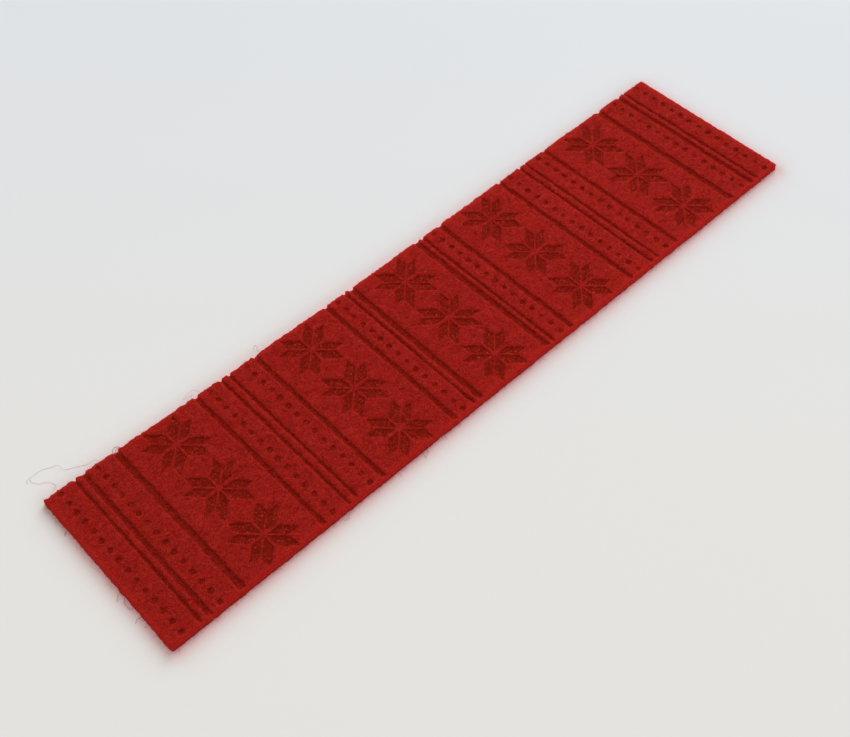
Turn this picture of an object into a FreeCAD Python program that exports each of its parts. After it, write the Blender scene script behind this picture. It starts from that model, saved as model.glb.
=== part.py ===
"""Engraved felt strip for a wrist pin cushion, one flat piece of craft felt.

Frame: millimetres, +Z up. The origin is the middle of the underside, X runs along the strip
and Y across it. The pattern is engraved into the top face and is symmetric about X = 0.

From the middle of the strip to each end the pattern runs: half a star field, band C, a star
field, band B, a star field, band A. The five star fields share the length that the bands leave.
"""
import FreeCAD
import Part
import Sketcher

import os

NODE = "felt_strip"
OUT_FOLDER = "parts"

# Driving dimensions: alias, value in mm (or a plain count or share), what it is.
DIMENSIONS = [
    ("strip_length", 210.0, "overall length along X"),
    ("strip_width", 50.0, "overall width along Y"),
    ("strip_thick", 2.0, "thickness of the felt"),
    ("groove_depth", 0.6, "depth of the grooves across the strip"),
    ("figure_depth", 0.45, "depth of the dots and the stars"),
    ("groove_stop", 0.5, "felt left whole between a groove's end and the near long edge"),
    ("fine_groove", 0.9, "width of a fine groove"),
    ("wide_groove_a", 1.4, "width of the wider groove of band A's pair"),
    ("wide_groove_c", 1.65, "width of the wider groove of band C's pair"),
    ("field_groove", 1.35, "width of the groove beside a star field"),
    ("outer_groove", 1.8, "width of the groove beside the outermost star fields"),
    ("band_a_dots_out", 3.75, "end of the strip to the outer dot row"),
    ("band_a_pair_out", 8.2, "end of the strip to the outer groove of the pair"),
    ("band_a_pair_in", 10.65, "end of the strip to the inner groove of the pair"),
    ("band_a_dots_in", 14.0, "end of the strip to the inner dot row"),
    ("band_a_reach", 19.65, "end of the strip to the groove beside the star field"),
    ("band_b_half", 9.1, "middle of band B to the groove at each of its sides"),
    ("band_b_dots_out", 5.7, "middle of band B outward to a dot row"),
    ("band_b_pair_out", 1.45, "middle of band B outward to a fine groove"),
    ("band_b_pair_in", 0.95, "middle of band B inward to a fine groove"),
    ("band_b_dots_in", 5.65, "middle of band B inward to a dot row"),
    ("band_c_pair_gap", 2.3, "between the two grooves of band C's pair"),
    ("band_c_dots", 5.65, "innermost groove of band C to its dot row"),
    ("band_c_reach", 8.8, "innermost groove of band C to its outer groove"),
    ("dot_size", 1.5, "diameter of a dot"),
    ("dot_margin", 1.5, "long edge to the middle of the first dot"),
    ("dot_count", 15, "dots in one row"),
    ("star_rows", 3, "stars in one column"),
    ("star_gap", 1.5, "clear felt between the stars of a column"),
    ("star_wide", 14.2, "size of a star along X"),
    ("star_shift", 0.35, "how far the star columns sit towards the near long edge"),
    ("star_notch", 0.556, "share of a star's half size where its notches lie"),
    ("star_tip", 0.55, "share of a star's half size by which a tip stands aside"),
    ("ridge_tall", 0.75, "uncut ridge between the petals that point along Y"),
    ("ridge_wide", 1.1, "uncut ridge between the petals that point along X"),
    ("ridge_slant", 0.6, "uncut ridge along the diagonals of a star"),
]

SHEET = "Sizes"
RUN_OUT = 1.0  # how far a groove's cutter passes the long edge that it runs out through


def size(alias):
    """The expression that reads one driving dimension."""
    return f"{SHEET}.{alias}"


# Places along X, as expressions, for the half of the strip with positive X.
HALF_LENGTH = f"{size('strip_length')} / 2"
HALF_WIDTH = f"{size('strip_width')} / 2"
BANDS = f"2 * ({size('band_a_reach')} + 2 * {size('band_b_half')} + {size('band_c_reach')})"
FIELD = f"(({size('strip_length')} - {BANDS}) / 5)"
C_START = f"({FIELD} / 2)"
C_END = f"({C_START} + {size('band_c_reach')})"
B_MIDDLE = f"({C_END} + {FIELD} + {size('band_b_half')})"
A_START = f"({HALF_LENGTH} - {size('band_a_reach')})"

GROOVES = [
    (C_START, "wide_groove_c"),
    (f"{C_START} + {size('band_c_pair_gap')}", "fine_groove"),
    (C_END, "field_groove"),
    (f"{B_MIDDLE} - {size('band_b_half')}", "field_groove"),
    (f"{B_MIDDLE} - {size('band_b_pair_in')}", "fine_groove"),
    (f"{B_MIDDLE} + {size('band_b_pair_out')}", "fine_groove"),
    (f"{B_MIDDLE} + {size('band_b_half')}", "field_groove"),
    (A_START, "outer_groove"),
    (f"{HALF_LENGTH} - {size('band_a_pair_in')}", "wide_groove_a"),
    (f"{HALF_LENGTH} - {size('band_a_pair_out')}", "fine_groove"),
]

DOT_ROWS = [
    f"{C_START} + {size('band_c_dots')}",
    f"{B_MIDDLE} - {size('band_b_dots_in')}",
    f"{B_MIDDLE} + {size('band_b_dots_out')}",
    f"{HALF_LENGTH} - {size('band_a_dots_in')}",
    f"{HALF_LENGTH} - {size('band_a_dots_out')}",
]

STAR_COLUMNS = {
    "inner": f"{C_END} + {FIELD} / 2",
    "outer": f"{A_START} - {FIELD} / 2",
}

DOT_PITCH = f"({size('strip_width')} - 2 * {size('dot_margin')}) / ({size('dot_count')} - 1)"
STAR_PITCH = f"({size('strip_width')} / {size('star_rows')})"
STAR_HALF_X = f"({size('star_wide')} / 2)"
STAR_HALF_Y = f"(({STAR_PITCH} - {size('star_gap')}) / 2)"


def make_sheet(doc):
    """The spreadsheet of driving dimensions, one row each."""
    sheet = doc.addObject("Spreadsheet::Sheet", SHEET)
    for row, (alias, value, note) in enumerate(DIMENSIONS, start=1):
        sheet.set(f"A{row}", alias)
        sheet.set(f"B{row}", str(value))
        sheet.setAlias(f"B{row}", alias)
        sheet.set(f"C{row}", note)
    doc.recompute()
    return sheet


def origin_plane(body, role):
    """One of the body's own origin planes."""
    return next(item for item in body.Origin.OriginFeatures if item.Role == role)


def new_sketch(body, name, height=None, at_x=None, at_y=None):
    """A sketch on the body's XY plane, lifted and shifted by expressions."""
    sketch = body.newObject("Sketcher::SketchObject", name)
    sketch.AttachmentSupport = [(origin_plane(body, "XY_Plane"), "")]
    sketch.MapMode = "FlatFace"
    for axis, expression in (("x", at_x), ("y", at_y), ("z", height)):
        if expression is not None:
            sketch.setExpression(f"AttachmentOffset.Base.{axis}", expression)
    return sketch


def bind_point(sketch, edge, end, x_expression, y_expression, guess):
    """Ties one end of an edge to a place in the sketch, given by two expressions.

    The expressions hold signed places. A distance from the origin to the point keeps its sign.
    """
    for kind, expression, value in (
        ("DistanceX", x_expression, guess[0]),
        ("DistanceY", y_expression, guess[1]),
    ):
        index = sketch.addConstraint(Sketcher.Constraint(kind, -1, 1, edge, end, value))
        sketch.setExpression(f"Constraints[{index}]", expression)


def add_outline(sketch, corners):
    """A closed outline of straight edges. Each corner is (x expression, y expression)."""
    places = [tuple(float(sketch.evalExpression(part)) for part in corner) for corner in corners]
    first = sketch.GeometryCount
    for start, end in zip(places, places[1:] + places[:1]):
        vectors = [FreeCAD.Vector(x, y, 0) for x, y in (start, end)]
        sketch.addGeometry(Part.LineSegment(*vectors), False)
    count = len(corners)
    for step in range(count):
        edge = first + step
        following = first + (step + 1) % count
        sketch.addConstraint(Sketcher.Constraint("Coincident", edge, 2, following, 1))
    for step, corner in enumerate(corners):
        bind_point(sketch, first + step, 1, *corner, places[step])


def add_rectangle(sketch, low_x, high_x, low_y, high_y):
    """An upright rectangle between four places given as expressions."""
    add_outline(sketch, [(low_x, low_y), (high_x, low_y), (high_x, high_y), (low_x, high_y)])


def add_dot(sketch, x_expression, y_expression):
    """One round dot whose middle is given by expressions."""
    middle = tuple(float(sketch.evalExpression(part)) for part in (x_expression, y_expression))
    radius = float(sketch.evalExpression(size("dot_size"))) / 2
    centre = FreeCAD.Vector(middle[0], middle[1], 0)
    circle = sketch.addGeometry(Part.Circle(centre, FreeCAD.Vector(0, 0, 1), radius), False)
    bind_point(sketch, circle, 3, x_expression, y_expression, middle)
    index = sketch.addConstraint(Sketcher.Constraint("Diameter", circle, 2 * radius))
    sketch.setExpression(f"Constraints[{index}]", size("dot_size"))


def new_pocket(body, name, sketch, depth):
    """A pocket that goes down from the sketch into the felt."""
    pocket = body.newObject("PartDesign::Pocket", name)
    pocket.Profile = sketch
    pocket.Type = "Length"
    pocket.setExpression("Length", depth)
    pocket.Reversed = False
    return pocket


def new_mirror(body, name, plane):
    """A mirror in a plane, given as (object, [sub-element])."""
    mirror = body.newObject("PartDesign::Mirrored", name)
    mirror.MirrorPlane = plane
    return mirror


def new_row(body, name, sketch, count, spacing):
    """A pattern along the sketch's own upright axis."""
    row = body.newObject("PartDesign::LinearPattern", name)
    row.Direction = (sketch, ["V_Axis"])
    row.Mode = "Spacing"
    row.setExpression("Offset", spacing)
    row.setExpression("Occurrences", count)
    return row


def repeat(body, name, original, steps):
    """Repeats one pocket through several transformations, one after another."""
    result = body.newObject("PartDesign::MultiTransform", name)
    result.Originals = [original]
    result.Transformations = steps
    body.Tip = result
    return result


def make_blank(body):
    """The plain strip, standing on the XY plane and centred on the origin."""
    sketch = new_sketch(body, "strip_outline")
    half = (HALF_LENGTH, HALF_WIDTH)
    add_rectangle(sketch, f"-({half[0]})", half[0], f"-({half[1]})", half[1])
    pad = body.newObject("PartDesign::Pad", "strip")
    pad.Profile = sketch
    pad.setExpression("Length", size("strip_thick"))
    return pad


def engrave_grooves(body, top):
    """The grooves across the strip: open at the far long edge, closed at the near one."""
    sketch = new_sketch(body, "groove_outlines", top)
    low_y = f"-({HALF_WIDTH}) + {size('groove_stop')}"
    high_y = f"{HALF_WIDTH} + {RUN_OUT}"
    for place, width in GROOVES:
        half = f"{size(width)} / 2"
        add_rectangle(sketch, f"{place} - {half}", f"{place} + {half}", low_y, high_y)
    pocket = new_pocket(body, "grooves", sketch, size("groove_depth"))
    mirror = new_mirror(body, "grooves_both_halves", (origin_plane(body, "YZ_Plane"), [""]))
    mirror.Originals = [pocket]
    body.Tip = mirror
    return [pocket, mirror]


def engrave_dots(body, top):
    """The rows of dots across the strip."""
    sketch = new_sketch(body, "first_dots", top)
    first = f"-({HALF_WIDTH}) + {size('dot_margin')}"
    for place in DOT_ROWS:
        add_dot(sketch, place, first)
    pocket = new_pocket(body, "dots", sketch, size("figure_depth"))
    steps = [
        new_row(body, "dot_row", sketch, size("dot_count"), DOT_PITCH),
        new_mirror(body, "dot_mirror", (origin_plane(body, "YZ_Plane"), [""])),
    ]
    return [pocket, repeat(body, "dots_all", pocket, steps)]


def engrave_stars(body, top, name, column=None):
    """One column of eight-petalled stars, with its mirror image if it is off the middle.

    The sketch holds the two petals of one quarter of the lowest star, about the star's centre.
    """
    lowest = f"-{STAR_PITCH} * ({size('star_rows')} - 1) / 2 - {size('star_shift')}"
    sketch = new_sketch(body, f"{name}_petals", top, at_x=column, at_y=lowest)
    slant = f"{size('ridge_slant')} * sqrt(2) / 2"
    for petal_along_y in (True, False):
        reach = STAR_HALF_Y if petal_along_y else STAR_HALF_X
        ridge = size("ridge_tall" if petal_along_y else "ridge_wide") + " / 2"
        notch = f"{reach} * {size('star_notch')}"
        tip = f"{reach} * {size('star_tip')}"
        corners = [
            (ridge, f"{ridge} + {slant}"),
            (ridge, notch),
            (tip, reach),
            (tip, f"{tip} + {slant}"),
        ]
        if not petal_along_y:
            corners = [(along, across) for across, along in corners]
        add_outline(sketch, corners)
    pocket = new_pocket(body, f"{name}_stars", sketch, size("figure_depth"))
    steps = [
        new_mirror(body, f"{name}_left_right", (sketch, ["V_Axis"])),
        new_mirror(body, f"{name}_up_down", (sketch, ["H_Axis"])),
        new_row(body, f"{name}_rows", sketch, size("star_rows"), STAR_PITCH),
    ]
    if column is not None:
        plane = (origin_plane(body, "YZ_Plane"), [""])
        steps.append(new_mirror(body, f"{name}_both_halves", plane))
    return [pocket, repeat(body, f"{name}_stars_all", pocket, steps)]


def make_strip(doc):
    """The whole part, and its features in the order in which they cut."""
    body = doc.addObject("PartDesign::Body", NODE)
    body.Label = NODE
    top = size("strip_thick")
    features = [make_blank(body)]
    doc.recompute()
    features += engrave_grooves(body, top)
    features += engrave_dots(body, top)
    features += engrave_stars(body, top, "middle")
    for name, column in STAR_COLUMNS.items():
        features += engrave_stars(body, top, name, column)
    doc.recompute()
    return body, features


def check(doc, body, features):
    """Stops on a failed object, a bad solid or a cut that took nothing away."""
    for item in doc.Objects:
        if {"Invalid", "Error"} & set(item.State):
            raise RuntimeError(f"{item.Name} is {item.State}: {item.getStatusString()}")
    if body.Shape.isNull() or not body.Shape.isValid() or len(body.Shape.Solids) != 1:
        raise RuntimeError(f"{body.Label} is not one valid solid")
    for before, after in zip(features, features[1:]):
        print(f"{after.Name}: volume {after.Shape.Volume:.1f} mm3")
        if after.Shape.Volume >= before.Shape.Volume:
            raise RuntimeError(f"{after.Name} cuts nothing")


def main():
    doc = FreeCAD.newDocument("felt_strip_part")
    make_sheet(doc)
    body, features = make_strip(doc)
    check(doc, body, features)
    os.makedirs(OUT_FOLDER, exist_ok=True)
    body.Shape.exportStep(os.path.join(OUT_FOLDER, f"{NODE}.step"))
    box = body.Shape.BoundBox
    print(f"{NODE}: {box.XLength:.2f} x {box.YLength:.2f} x {box.ZLength:.2f} mm")


main()
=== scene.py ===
"""A flat strip of red craft felt with a pattern engraved into its upper face, lying on a pale table.

The engraving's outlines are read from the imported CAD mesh. The felt is one closed mesh whose upper
face dips along those outlines. Loose fibres are thin closed tubes in pieces of their own.
"""

import math

import bpy
import numpy as np
from mathutils import Matrix, Vector
from mathutils.geometry import delaunay_2d_cdt


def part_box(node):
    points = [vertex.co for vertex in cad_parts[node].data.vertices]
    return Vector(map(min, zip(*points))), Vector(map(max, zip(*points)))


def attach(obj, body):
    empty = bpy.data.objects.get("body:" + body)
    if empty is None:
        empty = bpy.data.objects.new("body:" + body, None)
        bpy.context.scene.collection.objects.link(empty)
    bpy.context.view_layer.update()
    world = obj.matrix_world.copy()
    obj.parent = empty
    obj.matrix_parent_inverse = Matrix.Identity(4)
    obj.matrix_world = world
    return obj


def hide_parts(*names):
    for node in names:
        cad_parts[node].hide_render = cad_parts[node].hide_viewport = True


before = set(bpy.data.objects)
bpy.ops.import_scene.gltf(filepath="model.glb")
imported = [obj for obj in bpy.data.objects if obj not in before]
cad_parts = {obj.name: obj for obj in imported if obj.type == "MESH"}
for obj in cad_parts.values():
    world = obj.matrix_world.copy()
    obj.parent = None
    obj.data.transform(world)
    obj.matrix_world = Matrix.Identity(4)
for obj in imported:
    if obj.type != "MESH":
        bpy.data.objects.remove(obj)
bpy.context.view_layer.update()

MM = 0.001
LOW, HIGH = (np.array(corner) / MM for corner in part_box("felt_strip"))
HALF_X = (HIGH[0] - LOW[0]) / 2
HALF_Y = (HIGH[1] - LOW[1]) / 2
TOP = HIGH[2]

# Camera, in millimetres.
CAMERA_AT = Vector((-132.63, -139.64, 240.11))
CAMERA_AIM = Vector((-14.61, -7.28, 0.0))
CAMERA_ROLL = -1.8
CAMERA_LENS = 50.47
CAMERA_SENSOR = 36

# Felt surface, in millimetres.
CORNER_ROUND = 0.45       # radius of the strip's corners, seen from above
TOP_INSET = 0.2           # how far the upper face's rim stands in from the cut edge
UNDER_INSET = 0.04        # and the underside's
EDGE_ROUND = 0.9          # the upper face curves down over this width along the cut edge
EDGE_DROP = 0.28          # by this much at the edge itself
EDGE_LINES = (0.42, 0.78)   # lines of points that follow that curve
EDGE_HIGHLIGHT_REACH = 1.7           # the cut edge's painted highlight, a brighter red, reaches this far in
RING_OFFSETS = (0.24, 0.08, -0.1, -0.3)   # lines of points beside each engraved outline
WALL_OUT = 0.24           # a groove or petal starts to dip this far outside its outline
WALL_IN = 0.34            # and reaches its floor this far inside it
DOT_WALL_OUT = 0.18       # and the same for the dots
DOT_WALL_IN = 0.22
RING_STEP = 0.45
FILL_STEP = 0.68
RIM_STEP = 0.42
UNDER_STEP = 1.6
RUN_OUT = 1.2             # how far an open groove's outline goes on past the edge
RUN_OUT_STRENGTH = 0.62   # it is engraved this strongly there
RUN_OUT_FADE = 2.6        # and at its full strength this far in
NOTCH = 0.38              # how far its end eats into the far edge
NOTCH_FADE = 1.4          # and how far in from the edge that is felt
BOW = 0.75                # how far the far edge bows in near the middle
BOW_MIDDLE = -15.0        # where along the strip it bows in most
BOW_HALF_LENGTH = 95.0
START_SKEW = 0.35         # how far the -X end stands out sideways, towards +Y
SKEW_FROM = -60.0         # where along the strip the skew begins
SKEW_FADE = 45.0          # and over what length it grows
START_REACH = 0.1         # how far the -X end reaches out along the strip
START_FADE = 4.0          # and over what length that grows
EXTRA_WIDTH = 0.12        # the strip is this much wider than the CAD's where it isn't bowed
FACE_SETTLE = 0.04        # the upper face lies this far below the CAD's, and its fibres rise above
UNDER_LIFT = 0.03         # the underside lies about this far above the table
RIM_HIGHLIGHT_SHARE = 0.52          # how much of the cut edge's painted highlight the upper face takes on at its rim
DOT_WIDEST = 3.0          # an engraved outline no wider than this is a dot
GROOVE_SHORTEST = 30.0    # and one longer than this is a groove
PETAL_SPREAD = 0.14       # a petal's burnt colour and dip spread this far past its outline
FURTHEST = 0.7            # no engraving has an effect further than this from its outline

# Unevenness, as layers of (height, size across, seed).
RAGGED_OUTLINE = [(0.14, 0.8, 11), (0.10, 1.9, 12)]
LUMPS = [(0.05, 9.0, 21), (0.016, 1.9, 22), (0.016, 0.75, 23)]
ROUGH_EDGE = [(0.24, 0.5, 44), (0.15, 1.4, 45)]
ROUGH_FADE = 1.1          # the edge's roughness is felt this far in
SMOOTHER = 0.5            # share of it that all edges but the far one have
EDGE_SWELL = (0.09, 0.06)

# How deep and how dark each kind of engraving is, as (usual, swing) shares of the full.
DOT_BURN = [(0.69, 0.20), (0.84, 0.24)]
GROOVE_BURN = [(0.74, 0.03), (0.80, 0.04)]
PETAL_BURN = [(0.70, 0.06), (0.97, 0.03)]

# The cut edge's rows of points from the top down: (inset, share of the felt's height).
EDGE_ROWS = [(0.05, 0.9), (0.0, 0.78), (-0.04, 0.6), (-0.02, 0.42), (-0.08, 0.24), (-0.12, 0.08)]


# ---------------------------------------------------------------- small tools

def smooth_step(t):
    t = np.clip(t, 0.0, 1.0)
    return t * t * (3 - 2 * t)


def soft_noise(x, y, size, seed):
    """Smooth noise from -1 to 1 whose lumps are about size across."""
    lattice = np.random.default_rng(seed).uniform(-1, 1, (257, 257))
    u = np.asarray(x) / size + 1000.37
    v = np.asarray(y) / size + 1000.73
    i = np.floor(u).astype(int)
    j = np.floor(v).astype(int)
    s = smooth_step(u - i)
    t = smooth_step(v - j)
    i0, i1, j0, j1 = i % 257, (i + 1) % 257, j % 257, (j + 1) % 257
    low = lattice[i0, j0] * (1 - s) + lattice[i1, j0] * s
    high = lattice[i0, j1] * (1 - s) + lattice[i1, j1] * s
    return low * (1 - t) + high * t


def layered_noise(x, y, layers):
    """The sum of noises, each given as (height, size across, seed)."""
    return sum(height * soft_noise(x, y, size, seed) for height, size, seed in layers)


def new_piece(name, points, faces):
    """A mesh object from points in millimetres."""
    mesh = bpy.data.meshes.new(name)
    mesh.from_pydata([tuple(p) for p in np.asarray(points) * MM], [], faces)
    mesh.validate()
    mesh.update()
    piece = bpy.data.objects.new(name, mesh)
    bpy.context.scene.collection.objects.link(piece)
    return piece


# ---------------------------------------------------------------- the pattern, from the CAD mesh

def engraved_outlines():
    """[(corner points in order, depth)] of each flat floor below the upper face."""
    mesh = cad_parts["felt_strip"].data
    spots = np.round(np.array([v.co for v in mesh.vertices]) / MM, 4)
    _, same = np.unique(spots, axis=0, return_inverse=True)
    same = same.ravel()
    place = {k: spots[i] for i, k in enumerate(same)}
    floors = []
    for face in mesh.polygons:
        if face.normal.z > 0.9 and face.center.z / MM < TOP - 0.05:
            floors.append([int(same[i]) for i in face.vertices])
    uses = {}
    for corners in floors:
        for a, b in zip(corners, corners[1:] + corners[:1]):
            uses[(a, b)] = True
    following = {a: b for a, b in uses if (b, a) not in uses}
    outlines = []
    while following:
        start, corner = following.popitem()
        loop = [start]
        while corner != start:
            loop.append(corner)
            corner = following.pop(corner)
        points = np.array([place[k] for k in loop])
        outlines.append((points[:, :2], TOP - points[0, 2]))
    return outlines


def without_straight_points(points):
    """The outline with points that lie on a straight side left out."""
    ahead = np.roll(points, -1, axis=0) - points
    behind = points - np.roll(points, 1, axis=0)
    turn = ahead[:, 0] * behind[:, 1] - ahead[:, 1] * behind[:, 0]
    size = np.linalg.norm(ahead, axis=1) * np.linalg.norm(behind, axis=1)
    return points[np.abs(turn) > 1e-3 * size]


def run_past_edge(points):
    """An outline that reaches the far long edge goes on past it."""
    points = points.copy()
    points[points[:, 1] > HALF_Y - 0.01, 1] += RUN_OUT
    return points


def offset_outline(points, distance):
    """The convex outline grown by distance, each corner on its mitre."""
    ahead = np.roll(points, -1, axis=0) - points
    ahead /= np.linalg.norm(ahead, axis=1)[:, None]
    out = np.c_[ahead[:, 1], -ahead[:, 0]]
    before = np.roll(out, 1, axis=0)
    mitre = out + before
    mitre /= (1 + (out * before).sum(1))[:, None]
    return points + mitre * distance


def divide(points, step):
    """Points along the closed outline about step apart, its corners kept."""
    found = []
    for a, b in zip(points, np.roll(points, -1, axis=0)):
        count = max(1, round(float(np.linalg.norm(b - a)) / step))
        found += [a + (b - a) * k / count for k in range(count)]
    return np.array(found)


def near_outline(x, y, points, margin):
    """The indexes of the places that are inside the outline's box, grown by margin."""
    low = points.min(0) - margin
    high = points.max(0) + margin
    return np.nonzero((x > low[0]) & (x < high[0]) & (y > low[1]) & (y < high[1]))[0]


def outline_distance(x, y, points):
    """Distance from the outline, negative inside it."""
    nearest = np.full(len(x), 1e9)
    inside = np.ones(len(x), bool)
    for a, b in zip(points, np.roll(points, -1, axis=0)):
        ab = b - a
        t = np.clip(((x - a[0]) * ab[0] + (y - a[1]) * ab[1]) / (ab @ ab), 0, 1)
        nearest = np.minimum(nearest, np.hypot(x - a[0] - t * ab[0], y - a[1] - t * ab[1]))
        inside &= ab[0] * (y - a[1]) - ab[1] * (x - a[0]) > 0
    return np.where(inside, -nearest, nearest)


OUTLINES = [(run_past_edge(without_straight_points(p)), depth) for p, depth in engraved_outlines()]


def ragged(x, y):
    """How far the engraving's outline wanders at a place."""
    return layered_noise(x, y, RAGGED_OUTLINE)


def fade_at_edge(y):
    """The grooves are engraved more weakly where they run out over the far edge."""
    return RUN_OUT_STRENGTH + (1 - RUN_OUT_STRENGTH) * smooth_step((HALF_Y - y) / RUN_OUT_FADE)


def is_dot(points):
    """Whether the outline is one of the small round dots."""
    return np.ptp(points, axis=0).max() < DOT_WIDEST


def spread(points):
    """How far the burnt colour and the dip spread past an outline: only the petals' do."""
    size = np.ptp(points, axis=0).max()
    return PETAL_SPREAD if DOT_WIDEST < size < GROOVE_SHORTEST else 0.0


def burn(points):
    """(depth, darkness) of one outline as shares of the full: dots, long grooves or petals."""
    middle = points.mean(0)
    uneven = float(soft_noise(middle[0], middle[1], 1.3, 13))
    kind = PETAL_BURN
    if is_dot(points):
        kind = DOT_BURN
    if np.ptp(points, axis=0).max() > GROOVE_SHORTEST:
        kind = GROOVE_BURN
    return [usual + swing * uneven for usual, swing in kind]


def engraving(x, y):
    """(dip below the upper face, share of the full darkness) at each point."""
    x = np.asarray(x, float)
    y = np.asarray(y, float)
    dip = np.zeros(len(x))
    share = np.zeros(len(x))
    wander = ragged(x, y)
    for points, depth in OUTLINES:
        near = near_outline(x, y, points, FURTHEST)
        if len(near):
            out, within = (DOT_WALL_OUT, DOT_WALL_IN) if is_dot(points) else (WALL_OUT, WALL_IN)
            distance = outline_distance(x[near], y[near], points) + wander[near] - spread(points)
            part = smooth_step((out - distance) / (out + within)) * fade_at_edge(y[near])
            how_deep, how_dark = burn(points)
            dip[near] = np.maximum(dip[near], depth * how_deep * part)
            share[near] = np.maximum(share[near], how_dark * part)
    return dip, share


def upper_face(x, y):
    """(height, share of the full darkness) of the felt at each point."""
    dip, share = engraving(x, y)
    lumps = layered_noise(x, y, LUMPS)
    rough = 0.06 * share * soft_noise(x, y, 0.7, 24) + 0.05 * share * soft_noise(x, y, 1.7, 25)
    inside = np.clip(1 + edge_distance(x, y) / EDGE_ROUND, 0, 1)
    rounding = EDGE_DROP * (1 - np.sqrt(1 - inside ** 2))
    return TOP - FACE_SETTLE - dip + lumps + rough - rounding, share


# ---------------------------------------------------------------- the strip's outline

def outward(x, y):
    """Unit direction out of the strip's rounded outline, seen from above."""
    core_x = np.clip(x, -HALF_X + CORNER_ROUND, HALF_X - CORNER_ROUND)
    core_y = np.clip(y, -HALF_Y + CORNER_ROUND, HALF_Y - CORNER_ROUND)
    direction = np.c_[x - core_x, y - core_y]
    return direction / np.maximum(np.linalg.norm(direction, axis=1), 1e-9)[:, None]


def edge_distance(x, y):
    """Distance from the strip's rounded outline, negative inside it."""
    over_x = np.abs(x) - HALF_X + CORNER_ROUND
    over_y = np.abs(y) - HALF_Y + CORNER_ROUND
    outside = np.hypot(np.maximum(over_x, 0), np.maximum(over_y, 0))
    return outside + np.minimum(np.maximum(over_x, over_y), 0) - CORNER_ROUND


def rim(inset, step):
    """Points round the strip's rounded outline, inset from it."""
    corners = [(1, -1, -90), (1, 1, 0), (-1, 1, 90), (-1, -1, 180)]
    turns = 5
    loop = []
    for side_x, side_y, start in corners:
        middle = np.array([side_x * (HALF_X - CORNER_ROUND), side_y * (HALF_Y - CORNER_ROUND)])
        for k in range(turns):
            angle = math.radians(start + 90 * k / (turns - 1))
            reach = CORNER_ROUND - inset
            loop.append(middle + reach * np.array([math.cos(angle), math.sin(angle)]))
    return divide(np.array(loop), step)


def fill_points(step, margin, seed, clear_of_engraving):
    """A jittered grid of points inside the strip."""
    random = np.random.default_rng(seed)
    row = np.arange(-HALF_X, HALF_X, step)
    column = np.arange(-HALF_Y, HALF_Y, step)
    x, y = (a.ravel() for a in np.meshgrid(row, column))
    x = x + random.uniform(-0.35, 0.35, len(x)) * step
    y = y + random.uniform(-0.35, 0.35, len(y)) * step
    keep = edge_distance(x, y) < -margin
    x, y = x[keep], y[keep]
    if clear_of_engraving:
        keep = np.ones(len(x), bool)
        for points, _ in OUTLINES:
            near = near_outline(x, y, points, 1)
            distance = outline_distance(x[near], y[near], points)
            beside = (distance < RING_OFFSETS[0] + 0.2) & (distance > RING_OFFSETS[-1] - 0.2)
            keep[near[beside]] = False
        x, y = x[keep], y[keep]
    return np.c_[x, y]


def triangulate(loops, loose, inset):
    """Triangles inside the strip, inset from its outline, with the loops' lines kept as edges."""
    points, edges = [], []
    for loop in loops:
        first = len(points)
        points += [Vector(p) for p in loop]
        edges += [(first + k, first + (k + 1) % len(loop)) for k in range(len(loop))]
    points += [Vector(p) for p in loose]
    made, _, faces, _, _, _ = delaunay_2d_cdt(points, edges, [], 0, 1e-5)
    spots = np.array([tuple(p) for p in made])
    faces = np.array([f for f in faces if len(f) == 3])
    middle = spots[faces].mean(1)
    faces = faces[edge_distance(middle[:, 0], middle[:, 1]) < -inset]
    used, faces = np.unique(faces, return_inverse=True)
    return spots[used], faces.reshape(-1, 3)


def border(faces):
    """The vertices round the outside of the triangles, in order."""
    sides = {(a, b) for t in faces.tolist() for a, b in ((t[0], t[1]), (t[1], t[2]), (t[2], t[0]))}
    following = {a: b for a, b in sides if (b, a) not in sides}
    start = next(iter(following))
    loop = [start]
    while following[loop[-1]] != start:
        loop.append(following[loop[-1]])
    if len(loop) != len(following):
        raise RuntimeError("the felt's rim is not one loop")
    return loop


# ---------------------------------------------------------------- the felt

class Patchwork:
    """The felt's points and triangles, with two values at each point, as they are added."""

    def __init__(self):
        self.points = []
        self.engraved = []
        self.cut = []
        self.triangles = []
        self.count = 0

    def add_points(self, points, engraved, cut):
        """Adds points, and returns their numbers."""
        first = self.count
        self.points.append(points)
        self.engraved.append(engraved)
        self.cut.append(cut)
        self.count += len(points)
        return np.arange(first, self.count)


def add_upper_face(felt):
    """The engraved face. Returns the numbers of the points round its rim, in order."""
    rings = [rim(inset, RIM_STEP) for inset in (TOP_INSET,) + EDGE_LINES]
    for points, _ in OUTLINES:
        rings += [divide(offset_outline(points, d), RING_STEP) for d in RING_OFFSETS]
    loose = fill_points(FILL_STEP, EDGE_LINES[-1] + 0.25, 31, True)
    flat, faces = triangulate(rings, loose, TOP_INSET)
    height, share = upper_face(flat[:, 0], flat[:, 1])
    # The cut edge's painted highlight spreads over the upper face's rim.
    cut = RIM_HIGHLIGHT_SHARE * smooth_step(1 + edge_distance(flat[:, 0], flat[:, 1]) / EDGE_HIGHLIGHT_REACH)
    felt.add_points(np.c_[flat, height], share, cut)
    felt.triangles.append(faces)
    return np.array(border(faces))


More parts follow.
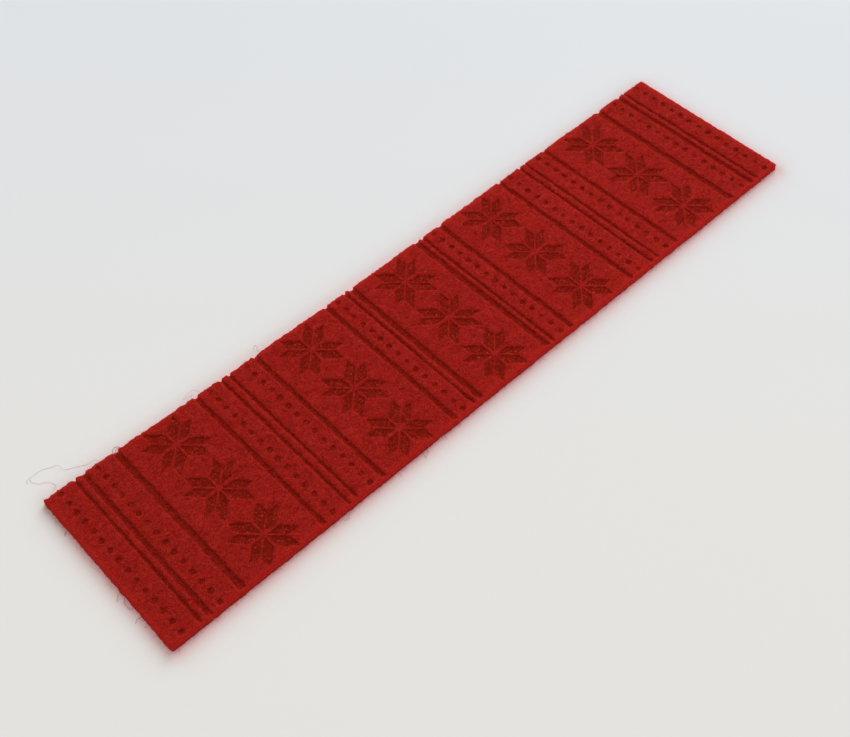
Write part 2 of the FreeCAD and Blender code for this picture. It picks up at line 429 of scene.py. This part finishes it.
def add_cut_edge(felt, top_rim):
    """The cut edge below that rim, row by row. Returns the numbers of the lowest row's points."""
    top = felt.points[0][top_rim]
    share = felt.engraved[0][top_rim]
    direction = outward(top[:, 0], top[:, 1])
    run = np.r_[0, np.cumsum(np.linalg.norm(np.diff(top[:, :2], axis=0), axis=1))]
    count = len(top_rim)
    above = top_rim
    for inset, level in EDGE_ROWS:
        swell = (EDGE_SWELL[0] * soft_noise(run, np.full(count, level * 3), 0.6, 41)
                 + EDGE_SWELL[1] * soft_noise(run, np.full(count, level * 2), 2.0, 42))
        out = TOP_INSET - inset + swell * (0.35 + 0.65 * level)
        row = np.c_[top[:, :2] + direction * out[:, None], top[:, 2] * level]
        # The cut edge itself takes the full painted highlight.
        below = felt.add_points(row, share * level, np.ones(count))
        felt.triangles.append(wall(above, below))
        above = below
    return above


def add_underside(felt, top_rim, lowest):
    """The plain underside, joined to the cut edge's lowest row."""
    top = felt.points[0][top_rim, :2]
    under_rim = top + outward(top[:, 0], top[:, 1]) * (TOP_INSET - UNDER_INSET)
    loose = fill_points(UNDER_STEP, UNDER_INSET + 0.9, 32, False)
    flat, faces = triangulate([under_rim], loose, UNDER_INSET)
    order = nearest_points(flat, under_rim)
    lift = UNDER_LIFT + UNDER_LIFT * soft_noise(flat[:, 0], flat[:, 1], 3.0, 43)
    plain = np.zeros(len(flat))
    numbers = felt.add_points(np.c_[flat, np.maximum(lift, 0)], plain, plain)
    felt.triangles.append(wall(lowest, numbers[order]))
    felt.triangles.append(numbers[faces[:, ::-1]])


def wall(above, below):
    """Triangles between two closed rows of the same number of points."""
    next_above = np.roll(above, -1)
    next_below = np.roll(below, -1)
    return np.vstack([np.c_[above, below, next_below], np.c_[above, next_below, next_above]])


def nearest_points(cloud, wanted):
    """The index in cloud of each wanted point, which is there to within rounding."""
    key = {tuple(p): k for k, p in enumerate(np.round(cloud, 3).tolist())}
    return np.array([key[tuple(p)] for p in np.round(wanted, 3).tolist()])


def plan_warp(points):
    """Points moved as the real strip is cut: not quite straight, rough at the edges, and notched
    where the grooves run out.
    """
    points = points.copy()
    x, y = points[:, 0].copy(), points[:, 1].copy()
    outside = edge_distance(x, y)
    rough = layered_noise(x, y, ROUGH_EDGE)
    rough *= smooth_step(1 + outside / ROUGH_FADE)
    by_end = HALF_X - np.abs(x) < HALF_Y - np.abs(y)
    far = (y > 0) & ~by_end
    rough *= np.where(far, 1.0, SMOOTHER)
    _, groove = engraving(x, np.full(len(x), HALF_Y - 0.2))
    notch = NOTCH * smooth_step(2 * groove) * smooth_step(1 + outside / NOTCH_FADE)
    rough -= np.where(far, notch, 0)
    x += np.where(by_end, np.sign(x) * rough, 0)
    y += np.where(by_end, 0, np.sign(y) * rough)
    points[:, 0] = x - START_REACH * smooth_step((START_FADE - HALF_X - x) / START_FADE)
    across = (y + HALF_Y) / (2 * HALF_Y)
    from_middle = np.clip((x - BOW_MIDDLE) / BOW_HALF_LENGTH, -1, 1)
    bow = BOW * np.cos(from_middle * math.pi / 2) ** 2
    skew = START_SKEW * smooth_step((SKEW_FROM - x) / SKEW_FADE)
    points[:, 1] = y - across * bow + (0.4 + 0.6 * across) * skew + EXTRA_WIDTH * across
    return points


def add_values(piece, name, values):
    """A value at each point of the piece, for its material to read."""
    attribute = piece.data.attributes.new(name, "FLOAT", "POINT")
    attribute.data.foreach_set("value", np.asarray(values, np.float32))


def make_felt():
    """The engraved strip, as one closed mesh."""
    felt = Patchwork()
    top_rim = add_upper_face(felt)
    lowest = add_cut_edge(felt, top_rim)
    add_underside(felt, top_rim, lowest)
    points = plan_warp(np.vstack(felt.points))
    piece = new_piece("engraved_felt", points, np.vstack(felt.triangles).tolist())
    add_values(piece, "engraved", np.concatenate(felt.engraved))
    # Where the cut edge's painted highlight lies, for the material to read.
    add_values(piece, "cut_edge_highlight", np.concatenate(felt.cut))
    piece.data.shade_smooth()
    return piece


# ---------------------------------------------------------------- materials

class Nodes:
    """Short names for building a node material."""

    def __init__(self, name):
        self.material = bpy.data.materials.new(name)
        self.material.use_nodes = True
        self.tree = self.material.node_tree
        self.shader = self.tree.nodes["Principled BSDF"]

    def add(self, kind, **settings):
        node = self.tree.nodes.new(kind)
        for key, value in settings.items():
            setattr(node, key, value)
        return node

    def link(self, source, target):
        self.tree.links.new(source, target)

    def set(self, socket, value):
        if isinstance(value, bpy.types.NodeSocket):
            self.link(value, socket)
        else:
            socket.default_value = value

    def math(self, operation, a, b=0.0):
        node = self.add("ShaderNodeMath", operation=operation)
        self.set(node.inputs[0], a)
        self.set(node.inputs[1], b)
        return node.outputs[0]

    def ramp(self, value, low, high, to_low=0.0, to_high=1.0):
        node = self.add("ShaderNodeMapRange", interpolation_type="SMOOTHSTEP")
        self.set(node.inputs["Value"], value)
        node.inputs["From Min"].default_value = low
        node.inputs["From Max"].default_value = high
        node.inputs["To Min"].default_value = to_low
        node.inputs["To Max"].default_value = to_high
        return node.outputs["Result"]

    def mix(self, share, a, b, blend="MIX"):
        node = self.add("ShaderNodeMix", data_type="RGBA", blend_type=blend)
        self.set(node.inputs["Factor"], share)
        self.set(node.inputs["A"], a)
        self.set(node.inputs["B"], b)
        return node.outputs["Result"]

    def over(self, share, strength, under, colour):
        """The colour under, with another laid over it where share is high."""
        return self.mix(self.math("MULTIPLY", share, strength), under, colour)

    def places(self, shift=(0, 0, 0), turn=0.0, stretch=(1, 1, 1)):
        """Object coordinates in millimetres, shifted, turned and stretched."""
        source = self.add("ShaderNodeTexCoord").outputs["Object"]
        node = self.add("ShaderNodeMapping")
        self.link(source, node.inputs["Vector"])
        node.inputs["Location"].default_value = shift
        node.inputs["Rotation"].default_value = (0, 0, math.radians(turn))
        node.inputs["Scale"].default_value = tuple(s / MM for s in stretch)
        return node.outputs["Vector"]

    def parts(self, vector):
        """The vector's x, y and z."""
        node = self.add("ShaderNodeSeparateXYZ")
        self.link(vector, node.inputs[0])
        return node.outputs

    def noise(self, where, size, detail=2.0, rough=0.5, bend=0.0):
        """Noise whose lumps are about size millimetres across."""
        node = self.add("ShaderNodeTexNoise")
        self.link(where, node.inputs["Vector"])
        node.inputs["Scale"].default_value = 1 / size
        node.inputs["Detail"].default_value = detail
        node.inputs["Roughness"].default_value = rough
        node.inputs["Distortion"].default_value = bend
        return node.outputs["Fac"]

    def strand(self, shift, turn, size, width, stretch):
        """Thin curling lines, as of fibres, where a noise passes its middle value."""
        field = self.noise(self.places(shift, turn, (1 / stretch, 1, 1)), size, 1.5, 0.5, 0.6)
        away = self.math("ABSOLUTE", self.math("SUBTRACT", field, 0.5))
        return self.ramp(away, 0.0, width, 1.0, 0.0)

    def value(self, name):
        return self.add("ShaderNodeAttribute", attribute_name=name).outputs["Fac"]


STRANDS = [
    # shift, turn in degrees, size in mm, width, stretch
    ((3, 1, 0), 12, 1.7, 0.035, 2.2),
    ((19, 7, 0), 74, 1.9, 0.032, 2.4),
    ((41, 23, 0), 128, 1.5, 0.036, 2.0),
    ((67, 31, 0), -37, 2.2, 0.028, 2.6),
    ((83, 57, 0), 48, 1.2, 0.040, 1.8),
]


# Colours of the felt. A pair is a range that a cloudy noise wanders over.
PLAIN = [(0.366, 0.0064, 0.0037, 1), (0.378, 0.0070, 0.0041, 1)]
PIT = (0.20, 0.004, 0.0025, 1)
BRIGHT_GRAIN = (0.50, 0.020, 0.012, 1)
DARK_GRAIN = (0.15, 0.0025, 0.0017, 1)
FLECK = (0.56, 0.060, 0.042, 1)
STRAND = (0.52, 0.034, 0.024, 1)
BURNT = [(0.158, 0.0048, 0.0009, 1), (0.244, 0.0066, 0.0012, 1)]
BURNT_GRAIN = (0.32, 0.012, 0.003, 1)
BURNT_SPECK = (0.58, 0.052, 0.026, 1)
BURNT_STRAND = (0.40, 0.018, 0.008, 1)
# Painted highlight: the cut edge and the rim beside it are a brighter red, for the light that comes
# through the felt at its edge.
CUT_EDGE_HIGHLIGHT = [(0.45, 0.013, 0.010, 1), (0.60, 0.022, 0.017, 1)]
PAINTED_SHADE_AT_START = (0.88, 0.92, 0.90, 1)   # painted shade: the felt is a little darker at its -X end, in place of the sheen towards +X
PAINTED_SHADE_AT_FOOT = (0.84, 0.79, 0.75, 1)    # and painted contact shade at the foot of the cut edge


def felt_strands(n):
    """Curling strands that lie in patches over the felt."""
    strands = None
    for k, (shift, turn, size, width, stretch) in enumerate(STRANDS):
        line = n.strand(shift, turn, size, width, stretch)
        patches = n.ramp(n.noise(n.places((11 * k, 5, 9)), 1.8, 1.0), 0.42, 0.62)
        line = n.math("MULTIPLY", line, patches)
        strands = line if strands is None else n.math("MAXIMUM", strands, line)
    return strands


def plain_colour(n, cloud, grain, pits, strands):
    """The felt where nothing is engraved."""
    fine = n.noise(n.places((2, 8, 4)), 0.2, 1.0)
    flecks = n.ramp(n.noise(n.places((9, 4, 6)), 0.22, 1.0), 0.58, 0.70)
    colour = n.mix(n.ramp(cloud, 0.32, 0.68), *PLAIN)
    colour = n.over(pits, 0.22, colour, PIT)
    colour = n.over(n.ramp(grain, 0.46, 0.62), 0.55, colour, BRIGHT_GRAIN)
    colour = n.over(n.ramp(fine, 0.52, 0.36), 0.75, colour, DARK_GRAIN)
    colour = n.over(flecks, 0.68, colour, FLECK)
    return n.over(strands, 0.35, colour, STRAND)


def burnt_colour(n, cloud, grain, strands, engraved):
    """The engraved floors, with bright specks, most of them in the petals."""
    specks = n.ramp(n.noise(n.places((7, 3, 1)), 0.36, 2.0, 0.6), 0.60, 0.66)
    specks = n.math("MULTIPLY", specks, n.ramp(engraved, 0.84, 0.95, 0.6, 1.0))
    colour = n.mix(n.ramp(cloud, 0.3, 0.7), *BURNT)
    colour = n.over(n.ramp(grain, 0.45, 0.7), 0.35, colour, BURNT_GRAIN)
    colour = n.mix(specks, colour, BURNT_SPECK)
    return n.over(strands, 0.3, colour, BURNT_STRAND)


def felt_bump(n, cloud, grain, pits, strands):
    """The felt's fine relief, which is too small for the mesh."""
    height = n.math("MULTIPLY", cloud, 0.3)
    height = n.math("ADD", height, n.math("MULTIPLY", grain, 0.5))
    height = n.math("ADD", height, n.math("MULTIPLY", strands, 0.45))
    height = n.math("SUBTRACT", height, n.math("MULTIPLY", pits, 0.4))
    bump = n.add("ShaderNodeBump")
    bump.inputs["Strength"].default_value = 0.7
    bump.inputs["Distance"].default_value = 0.18 * MM
    n.link(height, bump.inputs["Height"])
    n.link(bump.outputs["Normal"], n.shader.inputs["Normal"])


def felt_material():
    """Red felt: darker and browner in the engraving, with fine strands; painted highlight on the cut
    edge and its rim, painted shade at its foot and towards the -X end.
    """
    n = Nodes("red_felt")
    place = n.places()
    engraved = n.value("engraved")
    strands = felt_strands(n)
    cloud = n.noise(place, 1.5, 3.0, 0.55)
    grain = n.noise(place, 0.27, 2.0, 0.6)
    pits = n.ramp(n.noise(n.places((5, 9, 2)), 0.6, 2.0, 0.6), 0.36, 0.5, 1.0, 0.0)

    plain = plain_colour(n, cloud, grain, pits, strands)
    burnt = burnt_colour(n, cloud, grain, strands, engraved)
    darkness = n.math("MULTIPLY", n.ramp(engraved, 0.15, 0.6), n.ramp(engraved, 0.76, 0.94, 0.85, 1.0))
    colour = n.mix(darkness, plain, burnt)
    # Painted highlight on the cut edge and its rim.
    colour = n.mix(n.value("cut_edge_highlight"), colour, n.mix(n.ramp(grain, 0.3, 0.7), *CUT_EDGE_HIGHLIGHT))
    x, _, z = n.parts(place)
    # Painted shade towards the -X end, in place of the sheen towards +X.
    colour = n.mix(n.ramp(x, -125, 55, 1.0, 0.0), colour, PAINTED_SHADE_AT_START, "MULTIPLY")
    # Painted contact shade at the foot of the cut edge.
    colour = n.mix(n.ramp(z, 0.1, 1.0, 1.0, 0.0), colour, PAINTED_SHADE_AT_FOOT, "MULTIPLY")
    n.link(colour, n.shader.inputs["Base Color"])
    n.link(n.ramp(grain, 0.2, 0.8, 0.86, 0.98), n.shader.inputs["Roughness"])
    felt_bump(n, cloud, grain, pits, strands)

    n.shader.inputs["Specular IOR Level"].default_value = 0.04
    n.shader.inputs["Sheen Weight"].default_value = 0.05
    n.shader.inputs["Sheen Roughness"].default_value = 0.5
    n.shader.inputs["Sheen Tint"].default_value = (1.0, 0.3, 0.25, 1)
    n.shader.inputs["Subsurface Weight"].default_value = 0.4
    n.shader.inputs["Subsurface Radius"].default_value = (1.0, 0.12, 0.08)
    n.shader.inputs["Subsurface Scale"].default_value = 0.9 * MM
    return n.material


def fibre_material(name, dark, light):
    """The red of loose fibres, between two shades."""
    n = Nodes(name)
    shade = n.noise(n.places(), 0.9, 1.0)
    n.link(n.mix(n.ramp(shade, 0.35, 0.65), dark, light), n.shader.inputs["Base Color"])
    n.link(n.ramp(shade, 0.3, 0.7, 0.6, 0.8), n.shader.inputs["Roughness"])
    n.shader.inputs["Specular IOR Level"].default_value = 0.05
    return n.material


TABLE_PAINTED_WARM = (0.815, 0.80, 0.77, 1)   # the table's white towards -X and -Y, painted as warmer light
TABLE_PAINTED_COOL = (0.755, 0.775, 0.80, 1)   # and towards +X and +Y, painted as cooler, greyer window light

# Painted shadow and painted red bounce light round the felt, each shifted on the table by some
# millimetres.
PAINTED_SHADOW = (0.88, 0.93, 0.89, 1)
SHADE_REACH = (2.5, 3.0)      # past the ends and past the long sides
SHADE_SHIFT = -0.5
PAINTED_BOUNCE_SHADOW = (0.74, 0.47, 0.48, 1)   # painted shadow, tinted by the red light that the felt throws
BOUNCE_SHADOW_HALVES_IN = 1.5         # it is half as strong this many millimetres further out
BOUNCE_SHADOW_SHIFT = (0.4, -0.6)
PAINTED_RED_LIGHT = (1.0, 0.72, 0.72, 1)   # painted red bounce light right beside the cut edge, widest at the -X end
RED_LIGHT_HALVES_IN = 0.5
RED_LIGHT_SHIFT = -0.8
CORNER_FADE = 1.2             # by the -X end's far corner the painted bounce shadow and red light both fade, as if this much further off


def beyond(n, value, shift, half):
    """How far a coordinate on the table lies past the strip's side, shifted, or 0."""
    from_middle = n.math("ABSOLUTE", n.math("SUBTRACT", value, shift))
    return n.math("MAXIMUM", n.math("SUBTRACT", from_middle, half), 0.0)


def length(n, a, b):
    """The length of a step of a one way and b the other."""
    return n.math("SQRT", n.math("ADD", n.math("MULTIPLY", a, a), n.math("MULTIPLY", b, b)))


def table_material():
    """White, with a painted warm-to-cool light drift, and the painted shadow and red bounce light that
    red felt throws on a white table round it.
    """
    n = Nodes("pale_table")
    x, y, _ = n.parts(n.places())
    # Painted light: warm towards -X and -Y, cool and grey towards +X and +Y.
    painted_table = n.mix(n.ramp(n.math("ADD", x, y), -160, 190), TABLE_PAINTED_WARM, TABLE_PAINTED_COOL)

    # Painted shadow round the felt.
    away = length(n, n.math("DIVIDE", beyond(n, x, SHADE_SHIFT, HALF_X), SHADE_REACH[0]),
                  n.math("DIVIDE", beyond(n, y, 0, HALF_Y), SHADE_REACH[1]))
    shade = n.math("POWER", 0.37, n.math("MULTIPLY", away, away))
    painted_table = n.mix(shade, painted_table, PAINTED_SHADOW, "MULTIPLY")

    far_corner = n.math("MULTIPLY", n.ramp(y, 8, HALF_Y), n.ramp(x, 0.2 - HALF_X, -0.2 - HALF_X))
    cooler = n.math("MULTIPLY", far_corner, CORNER_FADE)
    # Painted shadow tinted by the felt's red bounce light.
    away = n.math("ADD", beyond(n, x, BOUNCE_SHADOW_SHIFT[0], HALF_X), beyond(n, y, BOUNCE_SHADOW_SHIFT[1], HALF_Y))
    away = n.math("ADD", away, cooler)
    bounce_shadow = n.math("POWER", 0.5, n.math("DIVIDE", away, BOUNCE_SHADOW_HALVES_IN))
    painted_table = n.mix(bounce_shadow, painted_table, PAINTED_BOUNCE_SHADOW)

    # Painted red bounce light beside the cut edge.
    away = n.math("ADD", beyond(n, x, RED_LIGHT_SHIFT, HALF_X), beyond(n, y, 0, HALF_Y))
    away = n.math("ADD", away, cooler)
    red_light = n.math("POWER", 0.5, n.math("DIVIDE", away, RED_LIGHT_HALVES_IN))
    painted_table = n.mix(red_light, painted_table, PAINTED_RED_LIGHT)

    n.link(painted_table, n.shader.inputs["Base Color"])
    rough = n.noise(n.places(), 90, 2.0)
    n.link(n.ramp(rough, 0.3, 0.7, 0.55, 0.6), n.shader.inputs["Roughness"])
    n.shader.inputs["Specular IOR Level"].default_value = 0.08
    return n.material


# ---------------------------------------------------------------- fibres

SURFACE_FIBRE = 0.022     # radii, in millimetres
EDGE_FIBRE = 0.018
HAZE_FIBRE = 0.011
STRAY_FIBRE = 0.022
SHORT_HAIR = 0.04
TUFT = 0.07
LONGEST_EDGE_FIBRE = 2.6
FIBRE_POINTS = 6          # points along each loose fibre
HAIR_STEPS = 12           # steps along each short hair, shared out between its listed points


def tubes(name, paths, radius):
    """Closed three-sided tubes along paths of shape (fibres, points, 3), pointed at both ends."""
    paths = np.asarray(paths, float)
    fibres, count, _ = paths.shape
    ahead = np.gradient(paths, axis=1)
    ahead /= np.linalg.norm(ahead, axis=2)[:, :, None] + 1e-12
    side = np.cross(ahead, [0.13, 0.09, 1.0])
    side /= np.linalg.norm(side, axis=2)[:, :, None] + 1e-12
    up = np.cross(side, ahead)
    middle = paths[:, 1:-1]
    rings = []
    for k in range(3):
        angle = 2 * math.pi * k / 3 + math.pi / 2
        around = side[:, 1:-1] * math.cos(angle) + up[:, 1:-1] * math.sin(angle)
        rings.append(middle + around * radius)
    rings = np.stack(rings, 2).reshape(fibres, -1, 3)
    points = np.concatenate([paths[:, :1], rings, paths[:, -1:]], 1)
    last = 1 + 3 * (count - 2)
    faces = []
    for k in range(3):
        n = (k + 1) % 3
        faces.append((0, 1 + n, 1 + k))
        faces.append((last, last - 3 + k, last - 3 + n))
        for r in range(count - 3):
            a, b = 1 + 3 * r + k, 1 + 3 * r + n
            faces += [(a, b, b + 3), (a, b + 3, a + 3)]
    faces = np.array(faces)
    every = (faces[None] + (last + 1) * np.arange(fibres)[:, None, None]).reshape(-1, 3)
    return new_piece(name, points.reshape(-1, 3), every.tolist())


def curled(start, heading, length, curl, count):
    """Flat curling paths, shape (fibres, count, 2), whose heading turns steadily as they go."""
    step = (length / (count - 1))[:, None]
    turn = np.arange(count - 1)[None, :] * (curl / (count - 1))[:, None] + heading[:, None]
    moves = np.stack([np.cos(turn), np.sin(turn)], 2) * step[:, :, None]
    return start[:, None, :] + np.concatenate([np.zeros((len(start), 1, 2)), np.cumsum(moves, 1)], 1)


def fibre_piece(name, flat, height, radius):
    """Tubes along flat paths at the given heights, moved as the felt's own points are."""
    paths = np.concatenate([flat, height[..., None]], 2)
    moved = plan_warp(paths.reshape(-1, 3)).reshape(paths.shape)
    return tubes(name, moved, radius)


def surface_fuzz(name, fibres, seed, lift):
    """Fibres that lie on the upper face and arch a little off it."""
    random = np.random.default_rng(seed)
    count = FIBRE_POINTS
    start = np.c_[random.uniform(-HALF_X + 1.5, HALF_X - 1.5, fibres),
                  random.uniform(-HALF_Y + 1.5, HALF_Y - 1.5, fibres)]
    heading = random.uniform(0, 2 * math.pi, fibres)
    length = random.uniform(1.0, 3.2, fibres)
    curl = random.normal(0, 1.5, fibres)
    flat = curled(start, heading, length, curl, count)
    inside = edge_distance(flat[..., 0].ravel(), flat[..., 1].ravel()).reshape(fibres, count) < -0.2
    flat = flat[inside.all(1)]
    ground, _ = upper_face(flat[..., 0].ravel(), flat[..., 1].ravel())
    ground = ground.reshape(len(flat), count)
    ends = np.linspace(0, 1, count)[None, :]
    chord = ground[:, :1] * (1 - ends) + ground[:, -1:] * ends
    arch = np.sin(ends * math.pi) * random.uniform(0.2, 1.0, len(flat))[:, None] * lift
    sunk_ends = 0.03 * (1 - np.sin(ends * math.pi))
    height = np.maximum(ground, 0.35 * ground + 0.65 * chord) + arch - sunk_ends
    return fibre_piece(name, flat, height, SURFACE_FIBRE)


def edge_fuzz(name, fibres, seed, reach):
    """Short fibres that stand out of the cut edge all round."""
    random = np.random.default_rng(seed)
    count = FIBRE_POINTS
    loop = rim(0.05, 0.05)
    start = loop[random.integers(0, len(loop), fibres)]
    out = outward(start[:, 0], start[:, 1])
    heading = np.arctan2(out[:, 1], out[:, 0]) + random.normal(0, 0.75, fibres)
    length = reach * (0.25 + random.gamma(1.6, 0.35, fibres))
    length = np.minimum(length, LONGEST_EDGE_FIBRE)
    curl = random.normal(0, 2.2, fibres)
    flat = curled(start, heading, length, curl, count)
    ends = np.linspace(0, 1, count)[None, :]
    level = random.uniform(0.08, TOP - 0.05, fibres)[:, None]
    open_groove, _ = engraving(start[:, 0], start[:, 1])
    level = np.minimum(level, (TOP - 0.1 - open_groove)[:, None])
    rise = random.normal(0.0, 0.35, fibres)[:, None] * length[:, None]
    height = np.maximum(level + rise * ends - 0.25 * length[:, None] * ends ** 2, 0.03)
    return fibre_piece(name, flat, height, EDGE_FIBRE)


def edge_haze(name, fibres, seed):
    """Very fine fibres that lie out from the foot of the cut edge, over the table."""
    random = np.random.default_rng(seed)
    count = FIBRE_POINTS
    loop = rim(0.0, 0.05)
    start = loop[random.integers(0, len(loop), fibres)]
    out = outward(start[:, 0], start[:, 1])
    heading = np.arctan2(out[:, 1], out[:, 0]) + random.normal(0, 0.7, fibres)
    length = random.uniform(0.5, 2.2, fibres)
    curl = random.normal(0, 1.6, fibres)
    flat = curled(start, heading, length, curl, count)
    ends = np.linspace(0, 1, count)[None, :]
    level = random.uniform(0.05, 0.9, fibres)[:, None]
    height = np.maximum(level * (1 - ends) ** 1.5, 0.02)
    return fibre_piece(name, flat, height, HAZE_FIBRE)


def smooth_path(points, pieces):
    """Points along one smooth line through given points (Catmull-Rom)."""
    points = np.array(points, float)
    padded = np.vstack([2 * points[0] - points[1], points, 2 * points[-1] - points[-2]])
    line = []
    for a, b, c, d in zip(padded, padded[1:], padded[2:], padded[3:]):
        for t in np.arange(pieces) / pieces:
            line.append(0.5 * (2 * b + (c - a) * t + (2 * a - 5 * b + 4 * c - d) * t ** 2
                               + (3 * b - a - 3 * c + d) * t ** 3))
    line.append(points[-1])
    return np.array(line)


STRAY_LONG = [(-89.6, 25.0, 1.9), (-90.0, 26.6, 1.3), (-91.0, 27.5, 0.5), (-92.2, 27.9, 0.1),
              (-94.0, 28.9, 0.15), (-95.4, 29.6, 0.05), (-96.4, 30.1, 0.1), (-96.9, 30.9, 0.3),
              (-97.0, 31.8, 0.5), (-97.5, 32.5, 0.4), (-98.5, 33.0, 0.1), (-99.9, 33.7, 0.05),
              (-101.5, 34.1, 0.1), (-102.8, 33.9, 0.2), (-104.1, 33.9, 0.3), (-104.9, 33.8, 0.2),
              (-105.0, 33.3, 0.1), (-105.4, 32.9, 0.05)]
STRAY_SHORT = [(-100.6, 25.3, 1.4), (-101.2, 26.4, 0.8), (-101.4, 27.4, 0.3), (-100.5, 28.0, 0.15),
               (-100.8, 28.9, 0.1), (-101.2, 29.8, 0.2), (-102.1, 30.6, 0.1), (-103.0, 30.8, 0.2),
               (-103.6, 31.7, 0.2), (-104.2, 32.7, 0.1), (-104.1, 33.8, 0.1)]
STRAY_LOOP = [(-60.2, 24.6, 1.7), (-60.6, 26.2, 1.3), (-61.0, 27.4, 0.8), (-62.0, 27.4, 0.7),
              (-63.4, 27.2, 0.8), (-64.3, 26.8, 0.9), (-64.4, 26.4, 1.0), (-63.9, 26.2, 1.1),
              (-62.8, 26.0, 1.2), (-62.0, 25.8, 1.3)]
STRAY_HOOK = [(-41.8, 24.8, 1.5), (-41.9, 25.6, 1.2), (-41.3, 26.4, 1.0), (-41.1, 27.1, 1.0),
              (-41.2, 27.5, 0.9), (-41.6, 27.4, 0.8), (-42.2, 27.0, 0.6)]
NOTCH_TUFT = [(-83.6, 24.5, 1.6), (-84.1, 25.5, 1.9), (-84.8, 25.9, 2.0), (-85.5, 25.7, 1.9),
              (-86.0, 25.1, 1.8), (-85.6, 24.7, 1.8), (-84.9, 25.2, 2.1), (-84.2, 25.1, 2.1)]

SHORT_HAIRS = [
    [(-32.4, -24.8, 0.9), (-32.4, -26.0, 0.4), (-32.5, -26.9, 0.1)],
    [(-31.0, -24.8, 0.9), (-31.0, -25.7, 0.5), (-31.2, -26.3, 0.3)],
    [(-25.3, -24.8, 1.0), (-25.2, -25.8, 0.5), (-25.4, -26.5, 0.2)],
    [(-57.2, -24.8, 1.0), (-57.8, -26.1, 0.6), (-57.1, -26.4, 0.5), (-56.1, -26.1, 0.5),
     (-55.1, -24.8, 0.9)],
    [(-104.8, 17.1, 1.0), (-105.3, 17.2, 0.7), (-105.8, 17.3, 0.4)],
    [(-104.8, 15.8, 0.9), (-105.7, 15.6, 0.5), (-106.5, 15.2, 0.1)],
    [(-104.8, -5.5, 1.0), (-106.3, -6.1, 0.4), (-107.1, -6.9, 0.1)],
    [(-104.8, -6.9, 0.9), (-106.0, -8.2, 0.5), (-106.1, -9.4, 0.3), (-106.0, -10.4, 0.2),
     (-104.8, -10.9, 0.6)],
    [(-104.8, -14.2, 0.8), (-106.2, -13.5, 0.4), (-107.1, -13.9, 0.1)],
]


def stray_fibre(name, points, radius=STRAY_FIBRE):
    """One hair through listed points."""
    return tubes(name, [smooth_path(points, 6)], radius)


def short_hairs(name, hairs, radius):
    """Several hairs in one piece, each with the same number of steps."""
    paths = [smooth_path(points, HAIR_STEPS // (len(points) - 1)) for points in hairs]
    return tubes(name, paths, radius)


# ---------------------------------------------------------------- table, light and camera

TABLE_REACH = 3000        # millimetres from the middle to each side


def make_table():
    r = TABLE_REACH
    piece = new_piece("table", [(-r, -r, 0), (r, -r, 0), (r, r, 0), (-r, r, 0)], [(0, 1, 2, 3)])
    piece.data.materials.append(table_material())
    return piece


def area_light(name, at, aim, size, power, colour):
    """An oval light that faces a point."""
    light = bpy.data.lights.new(name, "AREA")
    light.shape = "ELLIPSE"
    light.size, light.size_y = size
    light.energy = power
    light.color = colour
    lamp = bpy.data.objects.new(name, light)
    bpy.context.scene.collection.objects.link(lamp)
    lamp.location = at
    lamp.rotation_euler = (Vector(aim) - Vector(at)).to_track_quat("-Z", "Y").to_euler()


WINDOW_AT = (3.48, 1.85, 3.08)   # metres, as the size is
WINDOW_SIZE = (3.4, 5.2)
WINDOW_WATTS = 202.0
WINDOW_COLOUR = (0.94, 0.97, 1.0)
ROOM_COLOUR = (1.0, 0.98, 0.95, 1)
ROOM_STRENGTH = 0.57


def make_lights():
    """One big window, and an even room all round."""
    area_light("window_light", WINDOW_AT, (0, 0, 0), WINDOW_SIZE, WINDOW_WATTS, WINDOW_COLOUR)
    world = bpy.data.worlds.new("soft_studio")
    world.use_nodes = True
    background = world.node_tree.nodes["Background"]
    background.inputs["Color"].default_value = ROOM_COLOUR
    background.inputs["Strength"].default_value = ROOM_STRENGTH
    bpy.context.scene.world = world


def make_camera():
    """The photo's view."""
    data = bpy.data.cameras.new("camera")
    data.lens = CAMERA_LENS
    data.sensor_width = CAMERA_SENSOR
    data.clip_start = 0.01
    data.clip_end = 20
    camera = bpy.data.objects.new("camera", data)
    bpy.context.scene.collection.objects.link(camera)
    look = (CAMERA_AIM - CAMERA_AT).to_track_quat("-Z", "Y").to_matrix()
    roll = Matrix.Rotation(math.radians(CAMERA_ROLL), 3, "Z")
    camera.matrix_world = Matrix.Translation(CAMERA_AT * MM) @ (look @ roll).to_4x4()
    bpy.context.scene.camera = camera


# ---------------------------------------------------------------- the scene

make_camera()
make_lights()
bpy.context.scene.view_settings.view_transform = "Standard"
table = make_table()

felt = make_felt()
felt.data.materials.append(felt_material())

fuzz_material = fibre_material("felt_fibre", (0.35, 0.011, 0.008, 1), (0.58, 0.042, 0.031, 1))
edge_material = fibre_material("edge_fibre", (0.50, 0.025, 0.020, 1), (0.72, 0.075, 0.065, 1))
hair_material = fibre_material("stray_fibre", (0.22, 0.04, 0.04, 1), (0.45, 0.10, 0.10, 1))
fibres = [
    surface_fuzz("surface_fibres_a", 9000, 51, 0.16),
    surface_fuzz("surface_fibres_b", 9000, 52, 0.32),
    edge_fuzz("edge_fibres", 5000, 53, 0.46),
    edge_haze("edge_haze", 600, 54),
]
strays = [
    stray_fibre("stray_fibre_long", STRAY_LONG),
    stray_fibre("stray_fibre_short", STRAY_SHORT),
    stray_fibre("stray_fibre_loop", STRAY_LOOP),
    stray_fibre("stray_fibre_hook", STRAY_HOOK, SHORT_HAIR),
    stray_fibre("stray_fibre_notch", NOTCH_TUFT, TUFT),
    short_hairs("stray_fibres_near", SHORT_HAIRS, SHORT_HAIR),
]
for piece in fibres[:2]:
    piece.data.materials.append(fuzz_material)
for piece in fibres[2:]:
    piece.data.materials.append(edge_material)
for piece in strays:
    piece.data.materials.append(hair_material)

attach(felt, "root")
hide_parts("felt_strip")
for piece in fibres + strays:
    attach(piece, "root")
